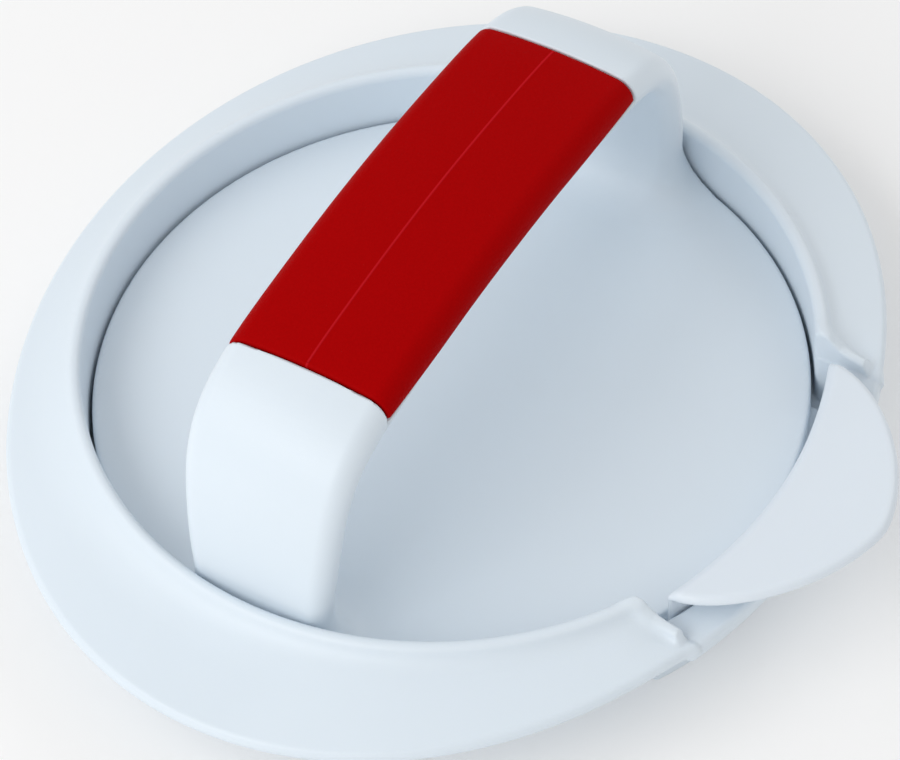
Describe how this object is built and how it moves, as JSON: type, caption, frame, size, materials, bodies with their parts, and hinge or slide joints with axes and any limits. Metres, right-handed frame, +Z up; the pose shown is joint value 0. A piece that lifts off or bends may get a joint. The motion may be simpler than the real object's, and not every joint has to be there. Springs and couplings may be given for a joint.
{
  "type": "hamburger patty press",
  "caption": "Round patty mould with a wide oval flange, a rocking ejector plate with a thumb tab, and a lift-off press with an arched soft-grip handle.",
  "frame": {"origin": "centre of the mould's flat underside, on the axis of the round mould", "axes": "+Z up out of the mould, +X towards the thumb tab, +Y along the handle"},
  "size_m": [0.136, 0.1458, 0.05],
  "materials": {
    "mould_white": "cool white moulded plastic with a satin sheen",
    "ejector_white": "cool white moulded plastic with a satin sheen",
    "press_white": "cool white moulded plastic, fine satin grain",
    "face_white": "cool white moulded plastic, satin",
    "grip_red": "deep red soft-touch rubber, matt, with a fine grain"
  },
  "bodies": {
    "mould": {"mould_ring": "mould_white"},
    "ejector": {"ejector_plate": "ejector_white"},
    "press": {"press_shell": "press_white", "press_face": "face_white", "soft_grip": "grip_red"}
  },
  "joints": [
    {"name": "ejector_rock", "type": "hinge", "parent": "mould", "child": "ejector", "pos_m": [0.0578, 0, 0.01185], "axis": [0, 1, 0], "range_deg": [0, 15]},
    {"name": "press_lift", "type": "slide", "parent": "ejector", "child": "press", "axis": [0, 0, 1], "range_m": [0, 0.06]}
  ]
}
